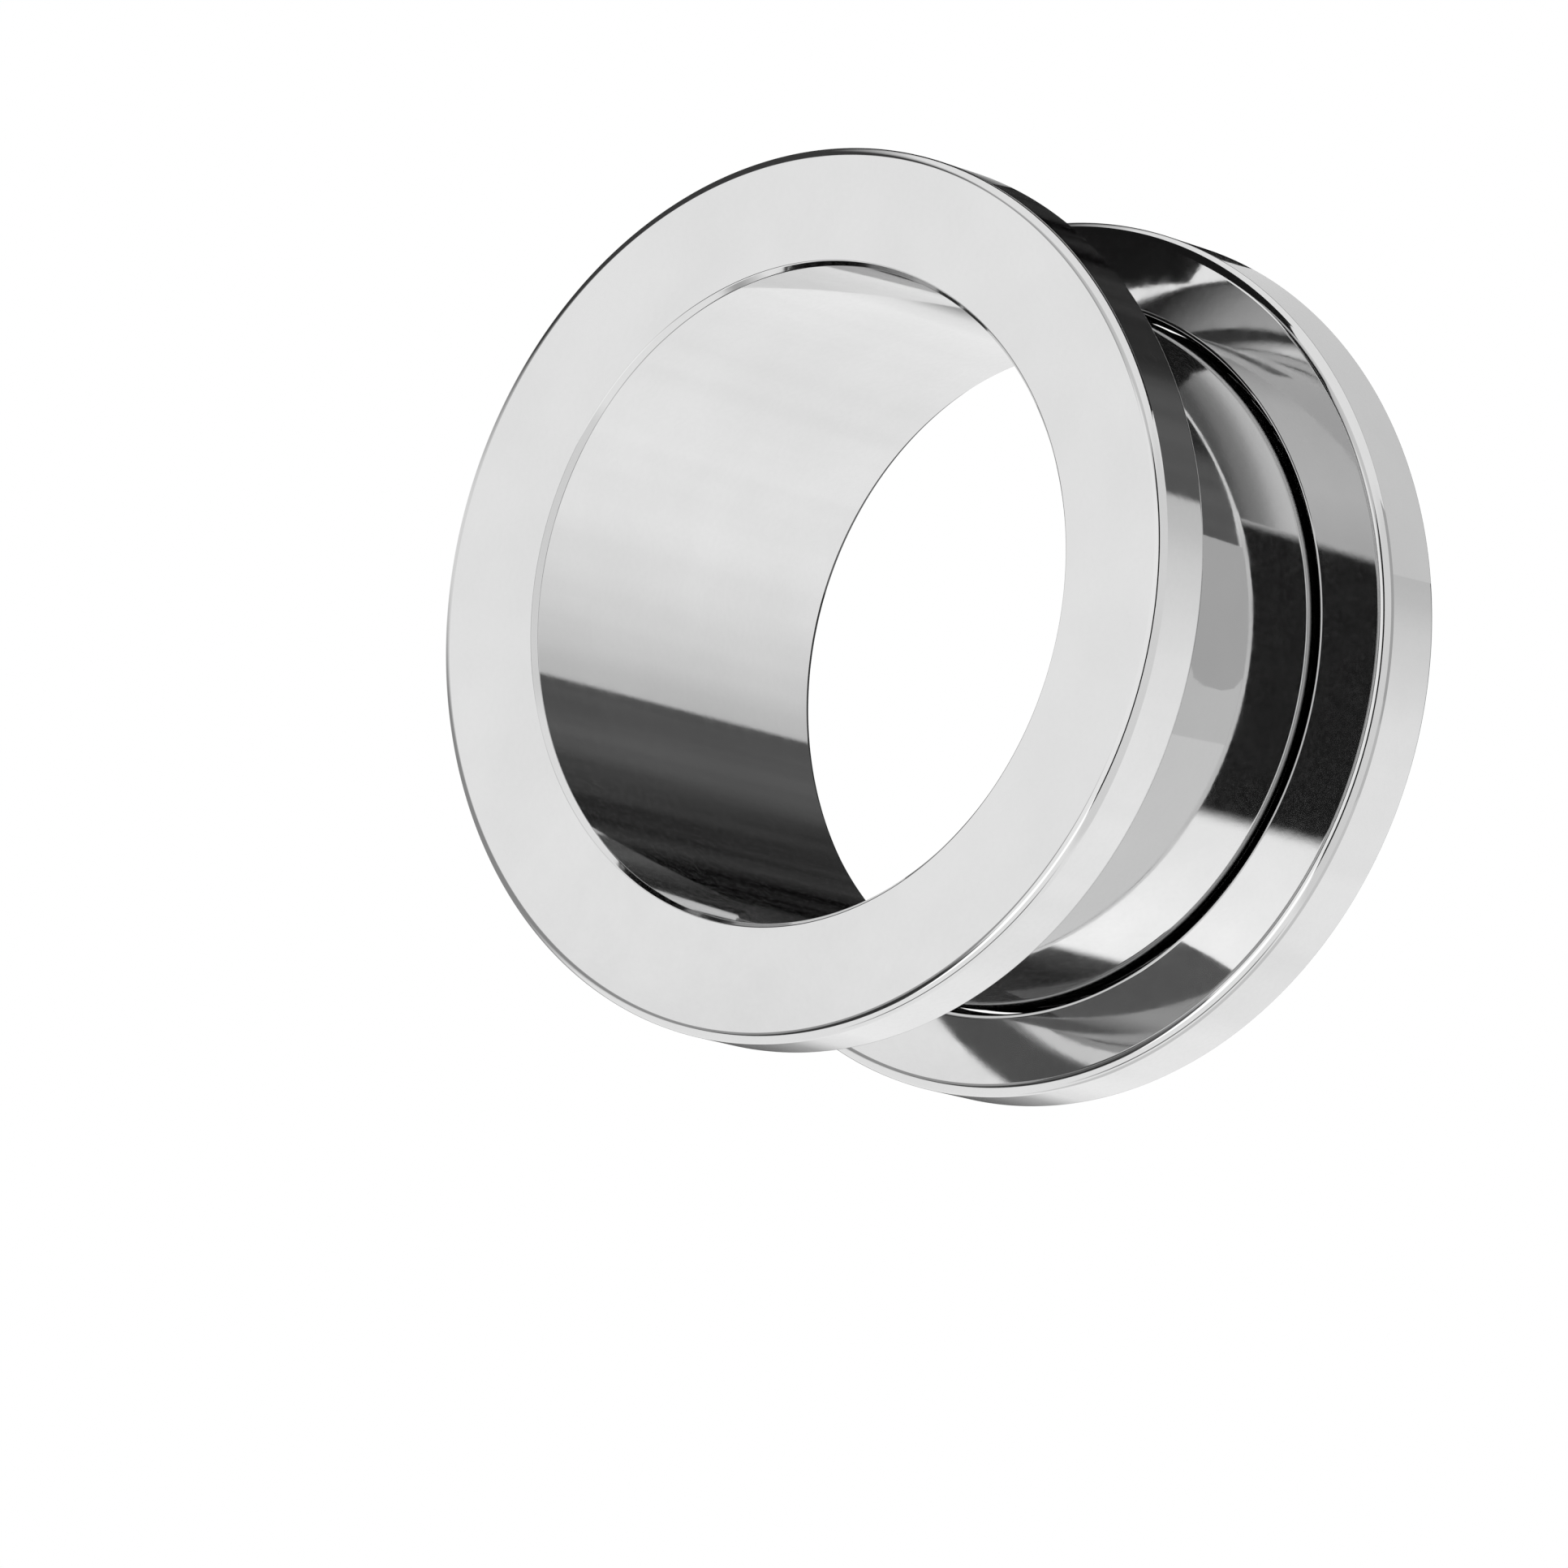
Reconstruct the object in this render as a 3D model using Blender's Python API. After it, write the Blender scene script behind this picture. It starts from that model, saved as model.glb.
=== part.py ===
"""Screw-fit ear tunnel in polished steel, lying on its screwed ring with the fixed flange up.

The tunnel is two turned pieces. The barrel is one piece: an open tube with a fixed flange at its
upper end and a short outer thread at its lower end. The screw ring is the loose flange, with the
matching inner thread. Metres, +Z up, origin at the centre of the ring's underside.
"""

import math

import bmesh
import bpy

MM = 0.001

# Driving sizes
GAUGE = 16.0 * MM
FLANGE_DIAMETER = 19.9 * MM
BORE_DIAMETER = 14.6 * MM
OVERALL_HEIGHT = 10.2 * MM
FLANGE_THICKNESS = 1.6 * MM
RING_THICKNESS = 1.8 * MM
THREAD_PITCH = 0.5 * MM

# Edges of the fixed flange and of the bore
FLANGE_EDGE_ROUNDING = 0.13 * MM
FLANGE_FILLET = 0.8 * MM
BORE_FRONT_BEVEL = (0.09 * MM, 0.18 * MM)
BORE_REAR_BEVEL = (0.12 * MM, 0.22 * MM)

# Screw ring: its edge on the lobe's side is rounded, and its hole is countersunk on both sides
RING_BEVEL = 0.09 * MM
RING_LOBE_EDGE_ROUNDING = 0.30 * MM
RING_HOLE_CLEARANCE = 0.18 * MM
COUNTERSINK = 0.15 * MM

# Threads: the crests pass each other with this gap, so that the barrel can be drawn straight out
CREST_CLEARANCE = 0.07 * MM
BARREL_CREST_BELOW_GAUGE = 0.07 * MM
BARREL_THREAD_DEPTH = 0.24 * MM
THREAD_FADE = 0.12 * MM
ROWS_PER_PITCH = 6

# Lower end of the barrel: the tube reaches into the ring's hole, then is rounded over to the thread
END_RECESS = 0.05 * MM
LIP_HEIGHT = 0.22 * MM
LIP_BEVEL = 0.12 * MM
TUBE_END_IN_RING = 0.10 * MM

# Facets
SEGMENTS = 60
FILLET_STEPS = 5
ROUNDING_STEPS = 2
LOBE_EDGE_STEPS = 3
SHOULDER_STEPS = 3

# Radii and heights worked out from the sizes above
FLANGE_RADIUS = FLANGE_DIAMETER / 2
TUBE_RADIUS = GAUGE / 2
BORE_RADIUS = BORE_DIAMETER / 2
RING_HOLE_RADIUS = TUBE_RADIUS + RING_HOLE_CLEARANCE
BARREL_CREST_RADIUS = TUBE_RADIUS - BARREL_CREST_BELOW_GAUGE
BARREL_ROOT_RADIUS = BARREL_CREST_RADIUS - BARREL_THREAD_DEPTH
RING_CREST_RADIUS = BARREL_CREST_RADIUS + CREST_CLEARANCE
FLANGE_BACK = OVERALL_HEIGHT - FLANGE_THICKNESS
LIP_TOP = END_RECESS + LIP_HEIGHT
TUBE_END = RING_THICKNESS - TUBE_END_IN_RING
SHOULDER_ROUNDING = TUBE_RADIUS - BARREL_ROOT_RADIUS

STEEL_COLOUR = (0.80, 0.80, 0.81, 1.0)
STEEL_ROUGHNESS = 0.06


def clear_scene():
    for obj in list(bpy.data.objects):
        bpy.data.objects.remove(obj, do_unlink=True)


def polished_steel(name):
    material = bpy.data.materials.new(name)
    material.use_nodes = True
    shader = material.node_tree.nodes["Principled BSDF"]
    shader.inputs["Base Color"].default_value = STEEL_COLOUR
    shader.inputs["Metallic"].default_value = 1.0
    shader.inputs["Roughness"].default_value = STEEL_ROUGHNESS
    return material


def smooth_step(x):
    x = min(1.0, max(0.0, x))
    return x * x * (3 - 2 * x)


def thread_wave(height, angle):
    """Height of the thread's ridge at a point, 0 in the groove and 1 on the crest, right-handed."""
    turns = height / THREAD_PITCH - angle / (2 * math.pi)
    return 0.5 + 0.5 * math.cos(2 * math.pi * turns)


def thread_fade(height, low, high):
    """The ridge fades in and out over a short height at both ends of the thread."""
    return smooth_step((height - low) / THREAD_FADE) * smooth_step((high - height) / THREAD_FADE)


def thread_rows(low, high, radius_at):
    """Profile points along a thread, from its low end to its high end."""
    count = round((high - low) / THREAD_PITCH * ROWS_PER_PITCH)
    rows = []
    for i in range(1, count):
        height = low + (high - low) * i / count
        rows.append((lambda angle, z=height: radius_at(z, angle), height))
    return rows


def arc(centre, radius, start_deg, end_deg, steps):
    """Profile points on an arc about a (radius, height) centre, both ends included."""
    points = []
    for i in range(steps + 1):
        a = math.radians(start_deg + (end_deg - start_deg) * i / steps)
        points.append((centre[0] + radius * math.cos(a), centre[1] + radius * math.sin(a)))
    return points


def turned_mesh(name, profile):
    """Turns a closed profile about Z. A point's radius is a number, or a function of the angle."""
    mesh = bpy.data.meshes.new(name)
    bm = bmesh.new()
    columns = []
    for s in range(SEGMENTS):
        angle = 2 * math.pi * s / SEGMENTS
        column = []
        for radius, height in profile:
            r = radius(angle) if callable(radius) else radius
            column.append(bm.verts.new((r * math.cos(angle), r * math.sin(angle), height)))
        columns.append(column)
    for s in range(SEGMENTS):
        here = columns[s]
        following = columns[(s + 1) % SEGMENTS]
        for i in range(len(profile)):
            j = (i + 1) % len(profile)
            bm.faces.new((here[i], following[i], following[j], here[j]))
    bmesh.ops.recalc_face_normals(bm, faces=bm.faces)
    bm.to_mesh(mesh)
    bm.free()
    mesh.shade_smooth()
    mesh.set_sharp_from_angle(angle=math.radians(30))
    return mesh


def barrel_profile():
    """Up the bore, across the face, down the fixed flange's rim, tube and thread, and round the lip."""
    bevel_r, bevel_h = BORE_FRONT_BEVEL
    rear_r, rear_h = BORE_REAR_BEVEL
    edge = FLANGE_EDGE_ROUNDING
    rim = FLANGE_RADIUS - edge
    thread_low = LIP_TOP
    thread_high = TUBE_END - SHOULDER_ROUNDING

    def radius_at(z, angle):
        ridge = thread_wave(z, angle) * thread_fade(z, thread_low, thread_high)
        return BARREL_ROOT_RADIUS + BARREL_THREAD_DEPTH * ridge

    profile = [(BORE_RADIUS + rear_r, END_RECESS), (BORE_RADIUS, END_RECESS + rear_h)]
    profile += [(BORE_RADIUS, OVERALL_HEIGHT - bevel_h), (BORE_RADIUS + bevel_r, OVERALL_HEIGHT)]
    profile += arc((rim, OVERALL_HEIGHT - edge), edge, 90, 0, ROUNDING_STEPS)
    profile += arc((rim, FLANGE_BACK + edge), edge, 0, -90, ROUNDING_STEPS)
    fillet_centre = (TUBE_RADIUS + FLANGE_FILLET, FLANGE_BACK - FLANGE_FILLET)
    profile += arc(fillet_centre, FLANGE_FILLET, 90, 180, FILLET_STEPS)
    profile += arc((BARREL_ROOT_RADIUS, TUBE_END), SHOULDER_ROUNDING, 0, -90, SHOULDER_STEPS)[:-1]
    profile += [(BARREL_ROOT_RADIUS, thread_high)]
    profile += reversed(thread_rows(thread_low, thread_high, radius_at))
    profile += [(BARREL_ROOT_RADIUS, thread_low), (BARREL_ROOT_RADIUS, END_RECESS + LIP_BEVEL)]
    profile += [(BARREL_ROOT_RADIUS - LIP_BEVEL, END_RECESS)]
    return profile


def ring_profile():
    """Down the outer rim, across the underside, and up through the threaded hole."""
    bevel = RING_BEVEL
    edge = RING_LOBE_EDGE_ROUNDING
    thread_low = COUNTERSINK
    thread_high = TUBE_END - SHOULDER_ROUNDING

    def radius_at(z, angle):
        ridge = (1 - thread_wave(z, angle)) * thread_fade(z, thread_low, thread_high)
        return RING_HOLE_RADIUS - (RING_HOLE_RADIUS - RING_CREST_RADIUS) * ridge

    profile = arc((FLANGE_RADIUS - edge, RING_THICKNESS - edge), edge, 90, 0, LOBE_EDGE_STEPS)
    profile += [(FLANGE_RADIUS, bevel), (FLANGE_RADIUS - bevel, 0.0)]
    profile += [(RING_HOLE_RADIUS + COUNTERSINK, 0.0), (RING_HOLE_RADIUS, thread_low)]
    profile += thread_rows(thread_low, thread_high, radius_at)
    profile += [(RING_HOLE_RADIUS, thread_high), (RING_HOLE_RADIUS, RING_THICKNESS - COUNTERSINK)]
    profile += [(RING_HOLE_RADIUS + COUNTERSINK, RING_THICKNESS)]
    return profile


def add_piece(name, profile, material):
    piece = bpy.data.objects.new(name, turned_mesh(name, profile))
    piece.data.materials.append(material)
    bpy.context.collection.objects.link(piece)
    return piece


def main():
    clear_scene()
    add_piece("screw_ring", ring_profile(), polished_steel("ring_steel"))
    add_piece("barrel", barrel_profile(), polished_steel("barrel_steel"))


main()
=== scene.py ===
import math

import bpy
from mathutils import Matrix, Vector


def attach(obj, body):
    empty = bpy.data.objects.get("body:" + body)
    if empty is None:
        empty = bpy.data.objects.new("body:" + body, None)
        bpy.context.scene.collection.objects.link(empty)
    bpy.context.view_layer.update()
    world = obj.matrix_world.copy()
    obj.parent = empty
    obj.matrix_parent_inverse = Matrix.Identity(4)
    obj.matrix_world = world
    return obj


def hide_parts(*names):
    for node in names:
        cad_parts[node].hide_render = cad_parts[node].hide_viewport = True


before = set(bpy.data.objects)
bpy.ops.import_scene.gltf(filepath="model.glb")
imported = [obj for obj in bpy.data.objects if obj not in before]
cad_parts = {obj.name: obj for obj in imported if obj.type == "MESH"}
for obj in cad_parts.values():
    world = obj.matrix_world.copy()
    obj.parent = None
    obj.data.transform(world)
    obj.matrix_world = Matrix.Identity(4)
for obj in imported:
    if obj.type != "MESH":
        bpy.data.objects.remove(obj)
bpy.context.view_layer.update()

MM = 0.001

# Sizes of the tunnel, the same as the solid model's
GAUGE = 16.0 * MM
FLANGE_DIAMETER = 19.9 * MM
BORE_DIAMETER = 14.6 * MM
OVERALL_HEIGHT = 10.2 * MM
FLANGE_THICKNESS = 1.6 * MM
RING_THICKNESS = 1.8 * MM
THREAD_PITCH = 0.5 * MM

# Edges: bevels as (radial, axial) sizes, roundings as radii
FLANGE_FRONT_ROUNDING = 0.22 * MM
FLANGE_BACK_ROUNDING = 0.13 * MM
FLANGE_FILLET = 0.8 * MM
BORE_FRONT_BEVEL = (0.10 * MM, 0.14 * MM)
BORE_REAR_BEVEL = (0.12 * MM, 0.22 * MM)
RING_LOBE_EDGE_ROUNDING = 0.26 * MM
RING_FOOT_ROUNDING = 0.10 * MM
RING_MOUTH_CLEARANCE = 0.10 * MM
RING_MOUTH_ROUNDING = 0.12 * MM
COUNTERSINK = 0.15 * MM
CORNER_SOFTENING = 0.03 * MM

# Threads and the barrel's lower end
RING_HOLE_CLEARANCE = 0.18 * MM
CREST_CLEARANCE = 0.07 * MM
BARREL_CREST_BELOW_GAUGE = 0.07 * MM
BARREL_THREAD_DEPTH = 0.24 * MM
THREAD_FADE = 0.12 * MM
THREAD_ROWS_PER_PITCH = 24
END_RECESS = 0.05 * MM
LIP_HEIGHT = 0.22 * MM
LIP_ROUNDING = 0.12 * MM
TUBE_END_IN_RING = 0.10 * MM

# Facets of the turned forms
SEGMENTS = 360
DEGREES_PER_STEP = 9
SUPPORT = 0.015 * MM

# Radii and heights worked out from the sizes above
FLANGE_RADIUS = FLANGE_DIAMETER / 2
TUBE_RADIUS = GAUGE / 2
BORE_RADIUS = BORE_DIAMETER / 2
RING_HOLE_RADIUS = TUBE_RADIUS + RING_HOLE_CLEARANCE
RING_MOUTH_RADIUS = TUBE_RADIUS + RING_MOUTH_CLEARANCE
BARREL_CREST_RADIUS = TUBE_RADIUS - BARREL_CREST_BELOW_GAUGE
BARREL_ROOT_RADIUS = BARREL_CREST_RADIUS - BARREL_THREAD_DEPTH
RING_CREST_RADIUS = BARREL_CREST_RADIUS + CREST_CLEARANCE
FLANGE_BACK = OVERALL_HEIGHT - FLANGE_THICKNESS
LIP_TOP = END_RECESS + LIP_HEIGHT
TUBE_END = RING_THICKNESS - TUBE_END_IN_RING
SHOULDER_ROUNDING = TUBE_RADIUS - BARREL_ROOT_RADIUS
THREAD_HIGH = TUBE_END - SHOULDER_ROUNDING
RIM_TOP = RING_THICKNESS - RING_LOBE_EDGE_ROUNDING

# Polished steel: each value varies in faint clouds between a lowest and a highest. The clouds are
# noise, as (scale, detail), and its values in a middle range are stretched over the whole variation.
STEEL_GREY = (0.745, 0.775)
GREY_CLOUDS = (350.0, 3.0)
STEEL_ROUGHNESS = (0.035, 0.065)
ROUGHNESS_CLOUDS = (1800.0, 4.0)
STEEL_HAZE = (0.0, 0.24)
HAZE_CLOUDS = (8000.0, 4.0)
HAZE_ROUGHNESS = 0.45
BUFFING_CLOUDS = (4000.0, 3.0)
BUFFING_DEPTH = 0.0006 * MM
BUFFING_STRENGTH = 0.5
MIDDLE_RANGE = (0.35, 0.65)
HAZE_MIDDLE_RANGE = (0.42, 0.60)

# Painted shade: the steel's grey is darkened in the gap between the tube and the ring's hole. In each
# row it rises between the first two places and falls between the last two.
GAP_SHADE_HEIGHTS = (THREAD_HIGH, 1.45 * MM, 1.75 * MM, RING_THICKNESS)
GAP_SHADE_RADII = (7.5 * MM, 7.6 * MM, 8.12 * MM, 8.18 * MM)
GAP_PAINTED_SHADE = 0.85

# Camera, fitted to the circles in the photograph
CAMERA_PLACE = (-0.0041063, -0.161724, 0.206932)
CAMERA_RIGHT = (0.24886, -0.75022, -0.61257)
CAMERA_UP = (0.96854, 0.19277, 0.15740)
CAMERA_BACK = (0.0, -0.63247, 0.77459)
CAMERA_LENS = 267.35
CAMERA_REACH = (0.01, 10.0)

# Studio: azimuths are in degrees from the camera's side (-Y) towards +X, elevations above the floor
FLOOR_HALF = 1.5

# How steeply the camera looks down: height over distance
VIEW_SLOPE = 1.30

# More mirrorings than any light has
MANY = 99

# Cards on the floor: the azimuths where the ring's rim and the tube mirror them, and their grey
FLOOR_CARD_HEIGHT = 0.02 * MM
LEFT_SHADE = {"on_ring": (-60, -7), "on_tube": (-58, -7), "grey": 0.70}
MID_SHADE = {"on_ring": (-7, 8), "on_tube": (-7, 8), "grey": 0.60}
GREY_CARD = {"on_ring": (6, 30), "on_tube": (5, 26.5), "grey": 0.45}
LIGHT_FOOT = {"on_ring": (22, 77), "grey": 0.69}

# The rounded left end of the grey card, where the tube shows it: azimuth, height in mm
GREY_CARD_END = [(4.5, 4.15), (2.9, 4.35), (2.1, 4.75), (2.1, 5.45), (2.9, 5.85), (4.5, 6.05)]

# Cards that are parts of flat rings round the axis: their azimuths, radii and grey
SEAT_RADII = (BORE_RADIUS + COUNTERSINK, RING_HOLE_RADIUS + COUNTERSINK)
DARK_SEAT = {"azimuths": (0, 360), "radii": SEAT_RADII, "grey": 0.0}
BACK_CARD = {"azimuths": (112, 150), "radii": (10 * MM, 14 * MM)}
EDGE_SHADE = {"azimuths": (45, 120), "radii": (14 * MM, 20 * MM), "grey": 0.02}
LEFT_OVERHANG = {"azimuths": (-98, -58), "radii": (10.2 * MM, 12.6 * MM), "grey": 0.13}
TOP_OVERHANG = {"azimuths": (70, 88), "radii": (9.96 * MM, 13 * MM), "grey": 0.01}

# A dark segment of the floor under the bore
BORE_SHADE = {"azimuths": (-150, -30), "grey": 0.04}

# Cards above the floor
EDGE_CARD_HEIGHT = 5.0 * MM
OVERHANG_HEIGHT = 9.3 * MM
OVERHANG_STEP = 0.05 * MM

# Outlines of two of them, as (x, y) in mm
DARK_OVERHANG = [
    (9.3, 4.6), (9.45, 3.9), (10.3, 3.5), (11.3, 1.5), (11.75, 0.65), (12.85, 0.0), (13.85, -1.35),
    (14.8, -3.0), (40.0, -3.0), (40.0, 30.0), (2.0, 30.0),
]
SOFT_OVERHANG = [
    (9.1, -9.5), (10.8, -7.4), (11.7, -4.9), (12.0, -2.1), (11.9, -0.6), (11.6, 0.7), (13.5, 2.5),
    (22.0, 2.5), (22.0, -12.0), (13.9, -11.9),
]
DARK_OVERHANG_GREY = 0.01

# Brightness across a card that fades: distance from the fade's centre in mm, brightness
SOFT_OVERHANG_FADE = [
    (11.35, 0.80), (11.8, 0.66), (12.1, 0.43), (12.4, 0.30), (12.75, 0.24), (13.1, 0.12),
]
SOFT_OVERHANG_CENTRE = (0.77 * MM, -2.23 * MM)
BACK_CARD_FADE = [
    (10.5, 0.65), (12.0, 0.56), (12.6, 0.45), (12.9, 0.36), (13.3, 0.22), (13.7, 0.10), (14.3, 0.03),
]

# Brightness round the tent at the camera's height: azimuth, brightness. In each row of elevations
# the band rises between the first two and falls between the last two.
UPPER_TENT = [
    (-178, 0.97), (-173, 0.35), (-158, 0.35), (-151, 0.05), (-115, 0.03), (-101, 0.10), (-98, 1.45),
    (-76, 1.45), (-38, 1.32), (-34, 1.0), (57, 1.0), (65, 0.62), (84, 0.70), (120, 0.62), (138, 0.47),
    (146, 0.30), (154, 0.97),
]
UPPER_ELEVATIONS = (40, 44, 62, 68)

# The opening that the camera looks through
OPENING = [(-36, 0.0), (-33, 1.0), (61, 1.0), (63.5, 0.0)]
OPENING_ELEVATIONS = (46, 48, 60, 64)
OPENING_GREY = 0.015

# Brightness round the tent from below the camera's height down: azimuth, brightness
MIDDLE_TENT = [
    (-178, 0.85), (-172, 0.30), (-155, 0.30), (-146, 0.95), (-40, 0.95), (-34, 0.80), (46, 0.80),
    (56, 0.92), (128, 0.92), (140, 0.05), (170, 0.05), (178, 0.85),
]
MIDDLE_ELEVATIONS = (-90, -89, 43, 47)

# Brightness that upright walls mirror from below the floor's level: azimuth, brightness
LOWER_TENT = [
    (-170, 0.12), (-158, 0.24), (-149, 0.42), (-141, 0.86), (-130, 1.0), (-62, 0.95), (-56, 1.0),
    (-10, 0.97), (10, 0.90), (30, 0.76), (49.2, 0.60), (50.2, 0.10), (62, 0.10), (74, 0.09),
    (84, 0.055), (100, 0.02),
]
LOWER_ELEVATIONS = (-90, -89, -48, -45)

# The same part of the tent is faintly cloudy, which mottles the dark reflections
TENT_CLOUDS = (7.0, 5.0)
TENT_CLOUD_DEPTH = 0.02

# Brightness round the tent for light that reaches the camera after three mirrorings or more. Here
# the ray depth is one more than the number of mirrorings.
DEEP_DEPTH = 3.5
DEEP_TENT = [
    (-150, 0.15), (-130, 0.55), (-60, 0.55), (0, 0.65), (60, 0.70), (150, 0.70), (170, 0.30),
]

# A dark gap between the tent's wall and the floor
HORIZON_GAP = [(-100, 0.0), (-88, 1.0), (-52, 1.0), (-40, 0.0)]
HORIZON_ELEVATIONS = (-4, -2, 5, 8)
HORIZON_GREY = 0.15

WHOLE_TURN = (-180.0, 180.0)


def rounded_profile(corners):
    """Points of a closed (radius, height) outline. A corner is (radius, height, rounding), or a
    ready point (radius, height) where the radius may be a function of the angle."""
    points = []
    count = len(corners)
    for i, corner in enumerate(corners):
        if len(corner) == 2:
            points.append(corner)
            continue
        here = Vector(corner[:2])
        before = flat_point(corners[i - 1])
        after = flat_point(corners[(i + 1) % count])
        points += rounded_corner(before, here, after, corner[2])
    return points


def flat_point(corner):
    """A corner's place, at angle 0 if its radius is a function of the angle."""
    radius = corner[0](0.0) if callable(corner[0]) else corner[0]
    return Vector((radius, corner[1]))


def rounded_corner(before, here, after, rounding):
    """The arc that rounds a corner, with a support point on the straight at each side of it."""
    to_before = (before - here).normalized()
    to_after = (after - here).normalized()
    half = to_before.angle(to_after) / 2
    reach = rounding / math.tan(half)
    start = here + to_before * reach
    end = here + to_after * reach
    centre = here + (to_before + to_after).normalized() * (rounding / math.sin(half))
    turn = math.pi - 2 * half
    steps = max(2, round(math.degrees(turn) / DEGREES_PER_STEP))
    first = start - centre
    last = end - centre
    points = [start + to_before * SUPPORT]
    for i in range(steps + 1):
        t = i / steps
        blend = first * math.sin((1 - t) * turn) + last * math.sin(t * turn)
        points.append(centre + blend / math.sin(turn))
    points.append(end + to_after * SUPPORT)
    return [tuple(point) for point in points]


def smooth_step(x):
    x = min(1.0, max(0.0, x))
    return x * x * (3 - 2 * x)


def thread_wave(height, angle):
    """Height of the thread's ridge at a point, 0 in the groove and 1 on the crest, right-handed."""
    turns = height / THREAD_PITCH - angle / (2 * math.pi)
    return 0.5 + 0.5 * math.cos(2 * math.pi * turns)


def thread_fade(height, low, high):
    """The ridge fades in and out over a short height at both ends of the thread."""
    return smooth_step((height - low) / THREAD_FADE) * smooth_step((high - height) / THREAD_FADE)


def thread_rows(low, high, radius_at):
    """Profile points along a thread, from its low end to its high end."""
    count = round((high - low) / THREAD_PITCH * THREAD_ROWS_PER_PITCH)
    rows = []
    for i in range(1, count):
        height = low + (high - low) * i / count
        rows.append((lambda angle, z=height: radius_at(z, angle), height))
    return rows


def turned_object(name, profile, material):
    """Turns a closed profile about Z into a mesh object."""
    vertices = []
    for s in range(SEGMENTS):
        angle = 2 * math.pi * s / SEGMENTS
        for radius, height in profile:
            r = radius(angle) if callable(radius) else radius
            vertices.append((r * math.cos(angle), r * math.sin(angle), height))
    rows = len(profile)
    faces = []
    for s in range(SEGMENTS):
        here = s * rows
        following = (s + 1) % SEGMENTS * rows
        for i in range(rows):
            j = (i + 1) % rows
            faces.append((here + i, here + j, following + j, following + i))
    mesh = bpy.data.meshes.new(name)
    mesh.from_pydata(vertices, [], faces)
    mesh.validate()
    mesh.shade_smooth()
    mesh.materials.append(material)
    piece = bpy.data.objects.new(name, mesh)
    bpy.context.scene.collection.objects.link(piece)
    return piece


def barrel_profile():
    """Down the bore, round the lip, up the thread, tube and fixed flange, and back over the face."""
    bevel_r, bevel_h = BORE_FRONT_BEVEL
    rear_r, rear_h = BORE_REAR_BEVEL
    soft = CORNER_SOFTENING

    def radius_at(z, angle):
        ridge = thread_wave(z, angle) * thread_fade(z, LIP_TOP, THREAD_HIGH)
        return BARREL_ROOT_RADIUS + BARREL_THREAD_DEPTH * ridge

    corners = [
        (BORE_RADIUS + bevel_r, OVERALL_HEIGHT, soft),
        (BORE_RADIUS, OVERALL_HEIGHT - bevel_h, soft),
        (BORE_RADIUS, END_RECESS + rear_h, soft),
        (BORE_RADIUS + rear_r, END_RECESS, soft),
        (BARREL_ROOT_RADIUS, END_RECESS, LIP_ROUNDING),
        (BARREL_ROOT_RADIUS, LIP_TOP),
    ]
    corners += thread_rows(LIP_TOP, THREAD_HIGH, radius_at)
    corners += [
        (BARREL_ROOT_RADIUS, THREAD_HIGH, soft),
        (TUBE_RADIUS, THREAD_HIGH, SHOULDER_ROUNDING - 2 * soft),
        (TUBE_RADIUS, FLANGE_BACK, FLANGE_FILLET),
        (FLANGE_RADIUS, FLANGE_BACK, FLANGE_BACK_ROUNDING),
        (FLANGE_RADIUS, OVERALL_HEIGHT, FLANGE_FRONT_ROUNDING),
    ]
    return rounded_profile(corners)


def ring_profile():
    """Down the threaded hole, across the underside, up the rim, and back over the lobe's side."""
    soft = CORNER_SOFTENING

    def radius_at(z, angle):
        ridge = (1 - thread_wave(z, angle)) * thread_fade(z, COUNTERSINK, THREAD_HIGH)
        return RING_HOLE_RADIUS - (RING_HOLE_RADIUS - RING_CREST_RADIUS) * ridge

    corners = [
        (RING_MOUTH_RADIUS, RING_THICKNESS, RING_MOUTH_ROUNDING),
        (RING_MOUTH_RADIUS, THREAD_HIGH, soft),
        (RING_HOLE_RADIUS, THREAD_HIGH),
    ]
    corners += reversed(thread_rows(COUNTERSINK, THREAD_HIGH, radius_at))
    corners += [
        (RING_HOLE_RADIUS, COUNTERSINK),
        (RING_HOLE_RADIUS + COUNTERSINK, 0.0, soft),
        (FLANGE_RADIUS, 0.0, RING_FOOT_ROUNDING),
        (FLANGE_RADIUS, RING_THICKNESS, RING_LOBE_EDGE_ROUNDING),
    ]
    return rounded_profile(corners)


def maths(tree, operation, *values):
    """The result of a math node. Its values are sockets or numbers."""
    node = tree.nodes.new("ShaderNodeMath")
    node.operation = operation
    for socket, value in zip(node.inputs, values):
        if isinstance(value, bpy.types.NodeSocket):
            tree.links.new(value, socket)
        else:
            socket.default_value = value
    return node.outputs[0]


def ranged(tree, value, from_range, to_range, smooth=False):
    """A value stretched from one range to another, and kept within it."""
    node = tree.nodes.new("ShaderNodeMapRange")
    node.interpolation_type = "SMOOTHSTEP" if smooth else "LINEAR"
    limits = zip(("From Min", "From Max", "To Min", "To Max"), (*from_range, *to_range))
    for name, limit in limits:
        node.inputs[name].default_value = limit
    tree.links.new(value, node.inputs["Value"])
    return node.outputs["Result"]


def inside(tree, value, limits):
    """1 between the two middle limits, 0 beyond the outer two."""
    rise = ranged(tree, value, limits[:2], (0.0, 1.0), smooth=True)
    fall = ranged(tree, value, limits[2:], (1.0, 0.0), smooth=True)
    return maths(tree, "MULTIPLY", rise, fall)


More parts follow.
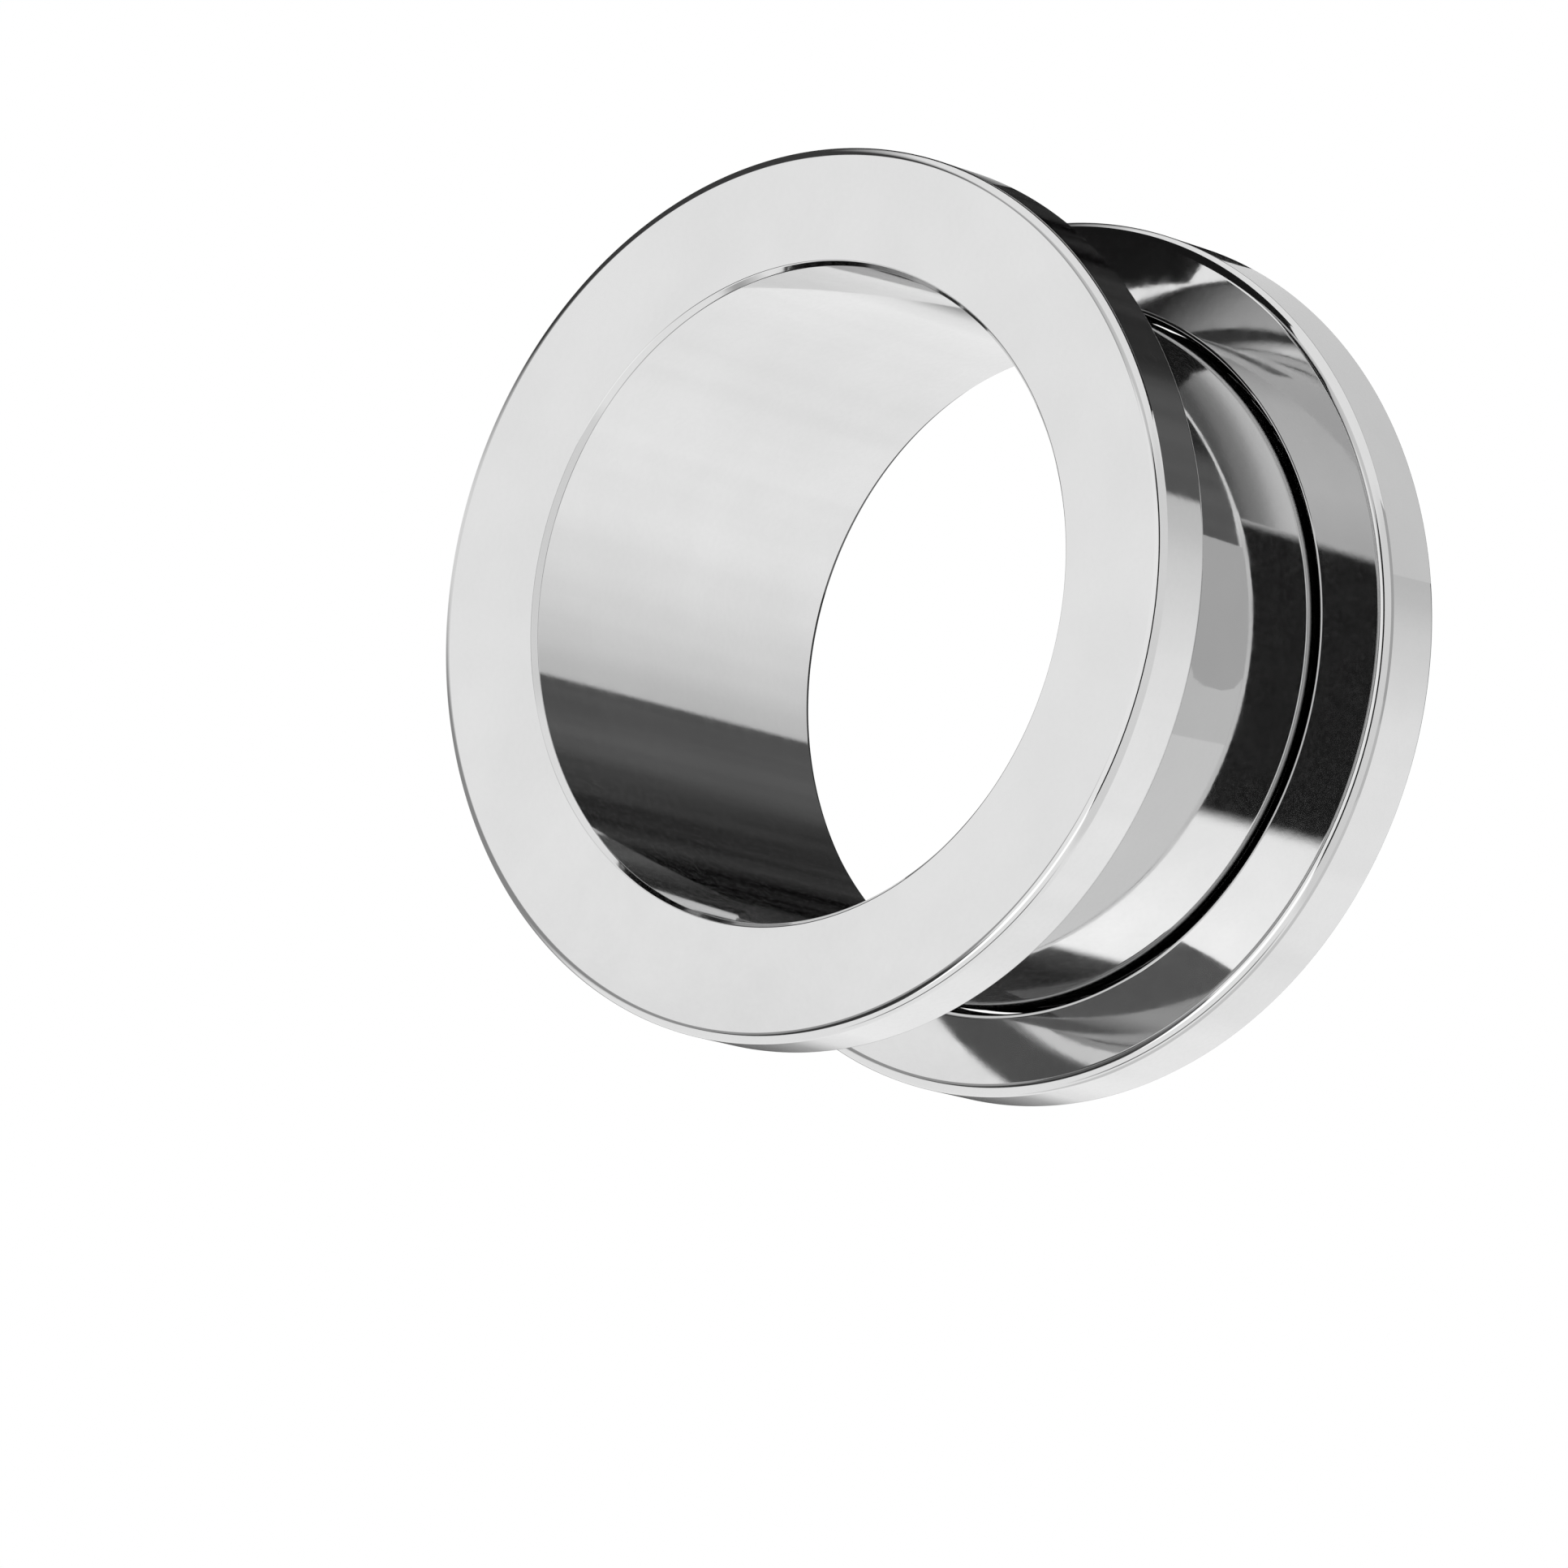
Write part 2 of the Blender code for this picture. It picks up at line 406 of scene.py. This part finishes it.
def looked_up(tree, value, rows, span):
    """A number looked up in a short table of (value, number) rows, straight between the rows."""
    node = tree.nodes.new("ShaderNodeValToRGB")
    points = node.color_ramp.elements
    places = [(row[0] - span[0]) / (span[1] - span[0]) for row in rows]
    for point, place, row in ((points[0], places[0], rows[0]), (points[1], places[-1], rows[-1])):
        point.position = place
        point.color = (row[1], row[1], row[1], 1.0)
    for place, row in list(zip(places, rows))[1:-1]:
        point = points.new(place)
        point.color = (row[1], row[1], row[1], 1.0)
    tree.links.new(ranged(tree, value, span, (0.0, 1.0)), node.inputs["Fac"])
    return node.outputs["Color"]


def noise(tree, vector, settings):
    """Cloudy noise of a (scale, detail)."""
    node = tree.nodes.new("ShaderNodeTexNoise")
    node.inputs["Scale"].default_value = settings[0]
    node.inputs["Detail"].default_value = settings[1]
    tree.links.new(vector, node.inputs["Vector"])
    return node.outputs["Fac"]


def axes_of(tree, vector):
    """The x, y and z of a vector."""
    split = tree.nodes.new("ShaderNodeSeparateXYZ")
    tree.links.new(vector, split.inputs[0])
    return split.outputs


def share_outside_painted_shade(tree, place):
    """1 on the open steel, and less in the gap between the tube and the ring's hole, where shade is
    painted into the grey.
    """
    x, y, z = axes_of(tree, place)
    squares = maths(tree, "ADD", maths(tree, "MULTIPLY", x, x), maths(tree, "MULTIPLY", y, y))
    radius = maths(tree, "SQRT", squares)
    gap = maths(tree, "MULTIPLY", inside(tree, z, GAP_SHADE_HEIGHTS), inside(tree, radius, GAP_SHADE_RADII))
    return maths(tree, "SUBTRACT", 1.0, maths(tree, "MULTIPLY", gap, GAP_PAINTED_SHADE))


def polished_steel(name, seed):
    """Mirror-polished steel: a faint cloudy haze from buffing, in its colour, gloss and surface, and
    painted shade in the gap between the tube and the ring's hole.
    The seed shifts the pattern, so that the two pieces differ."""
    material = bpy.data.materials.new(name)
    material.use_nodes = True
    tree = material.node_tree
    shader = tree.nodes["Principled BSDF"]
    shader.inputs["Metallic"].default_value = 1.0
    shader.inputs["Coat Roughness"].default_value = HAZE_ROUGHNESS

    place = tree.nodes.new("ShaderNodeTexCoord")
    shifted = tree.nodes.new("ShaderNodeVectorMath")
    shifted.operation = "ADD"
    shifted.inputs[1].default_value = (seed, 2 * seed, 3 * seed)
    tree.links.new(place.outputs["Object"], shifted.inputs[0])

    def clouds(settings):
        return noise(tree, shifted.outputs["Vector"], settings)

    colour = tree.nodes.new("ShaderNodeCombineColor")
    grey = ranged(tree, clouds(GREY_CLOUDS), MIDDLE_RANGE, STEEL_GREY)
    # Painted shade: the grey is darkened in the gap between the tube and the ring's hole
    grey = maths(tree, "MULTIPLY", grey, share_outside_painted_shade(tree, place.outputs["Object"]))
    for channel in ("Red", "Green", "Blue"):
        tree.links.new(grey, colour.inputs[channel])
    tree.links.new(colour.outputs["Color"], shader.inputs["Base Color"])
    roughness = ranged(tree, clouds(ROUGHNESS_CLOUDS), MIDDLE_RANGE, STEEL_ROUGHNESS)
    tree.links.new(roughness, shader.inputs["Roughness"])
    haze = ranged(tree, clouds(HAZE_CLOUDS), HAZE_MIDDLE_RANGE, STEEL_HAZE)
    tree.links.new(haze, shader.inputs["Coat Weight"])

    bump = tree.nodes.new("ShaderNodeBump")
    bump.inputs["Strength"].default_value = BUFFING_STRENGTH
    bump.inputs["Distance"].default_value = BUFFING_DEPTH
    tree.links.new(clouds(BUFFING_CLOUDS), bump.inputs["Height"])
    tree.links.new(bump.outputs["Normal"], shader.inputs["Normal"])
    return material


def glowing(name, brightness, centre=(0.0, 0.0, 0.0), side=0, mirrorings=None):
    """A card's own light: one brightness, or rows of (distance from a centre in mm, brightness).
    Side 1 shows only from above and -1 only from below. Mirrorings gives the least and the most
    times that light may be mirrored on its way from the card. The card is clear for other light."""
    material = bpy.data.materials.new(name)
    material.use_nodes = True
    tree = material.node_tree
    tree.nodes.remove(tree.nodes["Principled BSDF"])
    glow = tree.nodes.new("ShaderNodeEmission")
    if isinstance(brightness, list):
        place = tree.nodes.new("ShaderNodeTexCoord")
        reach = tree.nodes.new("ShaderNodeVectorMath")
        reach.operation = "DISTANCE"
        reach.inputs[1].default_value = centre
        tree.links.new(place.outputs["Object"], reach.inputs[0])
        rows = [(distance * MM, level) for distance, level in brightness]
        span = (rows[0][0], rows[-1][0])
        tree.links.new(looked_up(tree, reach.outputs["Value"], rows, span), glow.inputs["Color"])
    else:
        glow.inputs["Color"].default_value = (brightness, brightness, brightness, 1.0)

    surface = glow.outputs[0]
    if side:
        facing = tree.nodes.new("ShaderNodeNewGeometry")
        towards = maths(tree, "MULTIPLY", axes_of(tree, facing.outputs["Normal"])["Z"], side)
        surface = partly_clear(tree, surface, maths(tree, "LESS_THAN", towards, 0.0))
    if mirrorings:
        path = tree.nodes.new("ShaderNodeLightPath")
        too_few = maths(tree, "LESS_THAN", path.outputs["Ray Depth"], mirrorings[0] - 0.5)
        too_many = maths(tree, "GREATER_THAN", path.outputs["Ray Depth"], mirrorings[1] + 0.5)
        surface = partly_clear(tree, surface, maths(tree, "MAXIMUM", too_few, too_many))
    tree.links.new(surface, tree.nodes["Material Output"].inputs["Surface"])
    return material


def partly_clear(tree, surface, share):
    """A card's surface, made clear where the share is 1."""
    clear = tree.nodes.new("ShaderNodeBsdfTransparent")
    mix = tree.nodes.new("ShaderNodeMixShader")
    for source, socket in ((share, 0), (surface, 1), (clear.outputs[0], 2)):
        tree.links.new(source, mix.inputs[socket])
    return mix.outputs[0]


def stage_object(name, vertices, faces, material):
    """Part of the studio, not of the tunnel."""
    mesh = bpy.data.meshes.new(name)
    mesh.from_pydata(vertices, [], faces)
    mesh.materials.append(material)
    obj = bpy.data.objects.new(name, mesh)
    bpy.context.scene.collection.objects.link(obj)
    return obj


def add_floor():
    """A pale floor that the camera sees. What the steel mirrors below it is the tent's own light."""
    f = FLOOR_HALF
    corners = [(-f, -f, 0), (f, -f, 0), (f, f, 0), (-f, f, 0)]
    floor = stage_object("floor", corners, [(0, 1, 2, 3)], glowing("floor_white", 1.0))
    floor.visible_glossy = False


def on_side(azimuth, radius):
    """The (x, y) of a point at an azimuth from the camera's side and a distance from the axis."""
    a = math.radians(azimuth)
    return Vector((radius * math.sin(a), -radius * math.cos(a)))


def mirrored_on_floor(azimuth, radius, height):
    """Where the camera sees the floor mirrored in an upright wall, at a place on the wall."""
    return on_side(azimuth, radius) + on_side(2 * azimuth, height / VIEW_SLOPE)


def spread(limits, step):
    """Evenly spaced numbers between two limits, both included."""
    count = max(2, round((limits[1] - limits[0]) / step))
    return [limits[0] + (limits[1] - limits[0]) * i / count for i in range(count + 1)]


def mirrored_strip(card):
    """The outline of the floor that a stretch of the tube mirrors, beyond what the ring's rim does."""
    near = [mirrored_on_floor(turn, FLANGE_RADIUS, RIM_TOP) for turn in spread(card["on_ring"], 2)]
    far = [mirrored_on_floor(turn, TUBE_RADIUS, FLANGE_BACK) for turn in spread(card["on_tube"], 2)]
    return near + far[::-1]


def foot_strip(card):
    """The outline of the floor that a stretch of the ring's rim mirrors."""
    turns = spread(card["on_ring"], 2)
    near = [on_side(turn, FLANGE_RADIUS) for turn in turns]
    far = [mirrored_on_floor(turn, FLANGE_RADIUS, RING_THICKNESS) for turn in turns]
    return near + far[::-1]


def rounded_strip(card, end):
    """The same, with a rounded end in place of the straight one, as the tube shows it."""
    start = [mirrored_on_floor(turn, TUBE_RADIUS, height * MM) for turn, height in end]
    far = [mirrored_on_floor(turn, TUBE_RADIUS, FLANGE_BACK) for turn in spread(card["on_tube"], 2)]
    near = [mirrored_on_floor(turn, FLANGE_RADIUS, RIM_TOP) for turn in spread(card["on_ring"], 2)]
    return start + far + near[::-1]


def sector(card):
    """The outline of a part of a flat ring round the tunnel's axis."""
    turns = spread(card["azimuths"], 3)
    inner = [on_side(turn, card["radii"][0]) for turn in turns]
    outer = [on_side(turn, card["radii"][1]) for turn in reversed(turns)]
    return inner + outer


def in_metres(outline):
    return [(x * MM, y * MM) for x, y in outline]


def add_card(name, outline, height, brightness, **light):
    """A flat card near the tunnel. Only its mirror image in the steel shows."""
    vertices = [(x, y, height) for x, y in outline]
    faces = [tuple(range(len(outline)))]
    card = stage_object(name, vertices, faces, glowing(name, brightness, **light))
    card.visible_camera = False


def add_tent():
    """A white tent of light. Its darker parts give the polished steel its contrast."""
    world = bpy.data.worlds.new("tent")
    world.use_nodes = True
    bpy.context.scene.world = world
    tree = world.node_tree

    direction = tree.nodes.new("ShaderNodeTexCoord").outputs["Generated"]
    x, y, z = axes_of(tree, direction)
    degrees_in_radian = 180 / math.pi
    turn = maths(tree, "ARCTAN2", x, maths(tree, "MULTIPLY", y, -1.0))
    azimuth = maths(tree, "MULTIPLY", turn, degrees_in_radian)
    elevation = maths(tree, "MULTIPLY", maths(tree, "ARCSINE", z), degrees_in_radian)
    path = tree.nodes.new("ShaderNodeLightPath")

    def around(rows):
        return looked_up(tree, azimuth, rows, WHOLE_TURN)

    def band(limits):
        return inside(tree, elevation, limits)

    def blend(below, above, share):
        rest = maths(tree, "MULTIPLY", below, maths(tree, "SUBTRACT", 1.0, share))
        return maths(tree, "ADD", rest, maths(tree, "MULTIPLY", above, share))

    light = blend(1.0, around(UPPER_TENT), band(UPPER_ELEVATIONS))
    light = blend(light, around(MIDDLE_TENT), band(MIDDLE_ELEVATIONS))
    opening = maths(tree, "MULTIPLY", around(OPENING), band(OPENING_ELEVATIONS))
    light = blend(light, OPENING_GREY, opening)
    gap = maths(tree, "MULTIPLY", around(HORIZON_GAP), band(HORIZON_ELEVATIONS))
    light = blend(light, HORIZON_GREY, gap)

    clouds = noise(tree, direction, TENT_CLOUDS)
    shade = ranged(tree, clouds, MIDDLE_RANGE, (-TENT_CLOUD_DEPTH, TENT_CLOUD_DEPTH))
    lower = maths(tree, "MAXIMUM", maths(tree, "ADD", around(LOWER_TENT), shade), 0.0)
    light = blend(light, lower, band(LOWER_ELEVATIONS))
    deep = maths(tree, "GREATER_THAN", path.outputs["Ray Depth"], DEEP_DEPTH)
    light = blend(light, around(DEEP_TENT), deep)
    light = blend(light, 1.0, path.outputs["Is Camera Ray"])
    background = tree.nodes["Background"]
    background.inputs["Color"].default_value = (1.0, 1.0, 1.0, 1.0)
    tree.links.new(light, background.inputs["Strength"])


def add_floor_cards():
    """Cards on the floor: what the tube, the ring's rim, the gap and the bore mirror."""
    low = FLOOR_CARD_HEIGHT
    under_bore = [on_side(turn, BORE_RADIUS) for turn in spread(BORE_SHADE["azimuths"], 3)]
    add_card("left_shade", mirrored_strip(LEFT_SHADE), low, LEFT_SHADE["grey"])
    add_card("mid_shade", mirrored_strip(MID_SHADE), low, MID_SHADE["grey"])
    add_card("grey_card", rounded_strip(GREY_CARD, GREY_CARD_END), 2 * low, GREY_CARD["grey"])
    add_card("light_foot", foot_strip(LIGHT_FOOT), low, LIGHT_FOOT["grey"])
    add_card("dark_seat", sector(DARK_SEAT), low, DARK_SEAT["grey"])
    add_card("bore_shade", under_bore, low, BORE_SHADE["grey"], mirrorings=(2, MANY))
    add_card("back_card", sector(BACK_CARD), low, BACK_CARD_FADE)


def add_raised_cards():
    """Cards above the floor: what the ring's face, the tube above it and the front rim mirror."""
    add_card(
        "edge_shade", sector(EDGE_SHADE), EDGE_CARD_HEIGHT, EDGE_SHADE["grey"],
        side=1, mirrorings=(1, 1),
    )
    add_card(
        "dark_overhang", in_metres(DARK_OVERHANG), OVERHANG_HEIGHT, DARK_OVERHANG_GREY,
        side=-1, mirrorings=(1, 2),
    )
    above = OVERHANG_HEIGHT + OVERHANG_STEP
    add_card(
        "soft_overhang", in_metres(SOFT_OVERHANG), above, SOFT_OVERHANG_FADE,
        centre=(*SOFT_OVERHANG_CENTRE, above), side=-1, mirrorings=(2, 2),
    )
    add_card("left_overhang", sector(LEFT_OVERHANG), OVERHANG_HEIGHT, LEFT_OVERHANG["grey"], side=-1)
    add_card(
        "top_overhang", sector(TOP_OVERHANG), above, TOP_OVERHANG["grey"],
        side=-1, mirrorings=(1, 1),
    )


def add_camera():
    data = bpy.data.cameras.new("camera")
    data.lens = CAMERA_LENS
    data.clip_start, data.clip_end = CAMERA_REACH
    camera = bpy.data.objects.new("camera", data)
    axes = Matrix((CAMERA_RIGHT, CAMERA_UP, CAMERA_BACK)).transposed().to_4x4()
    camera.matrix_world = Matrix.Translation(CAMERA_PLACE) @ axes
    bpy.context.scene.collection.objects.link(camera)
    bpy.context.scene.camera = camera


def main():
    bpy.context.scene.view_settings.view_transform = "Standard"

    barrel = turned_object("tunnel_barrel", barrel_profile(), polished_steel("barrel_polish", 0.0))
    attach(barrel, "barrel")
    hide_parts("barrel")

    ring = turned_object("tunnel_screw_ring", ring_profile(), polished_steel("ring_polish", 0.7))
    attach(ring, "ring")
    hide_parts("screw_ring")

    add_tent()
    add_floor()
    add_floor_cards()
    add_raised_cards()
    add_camera()


main()
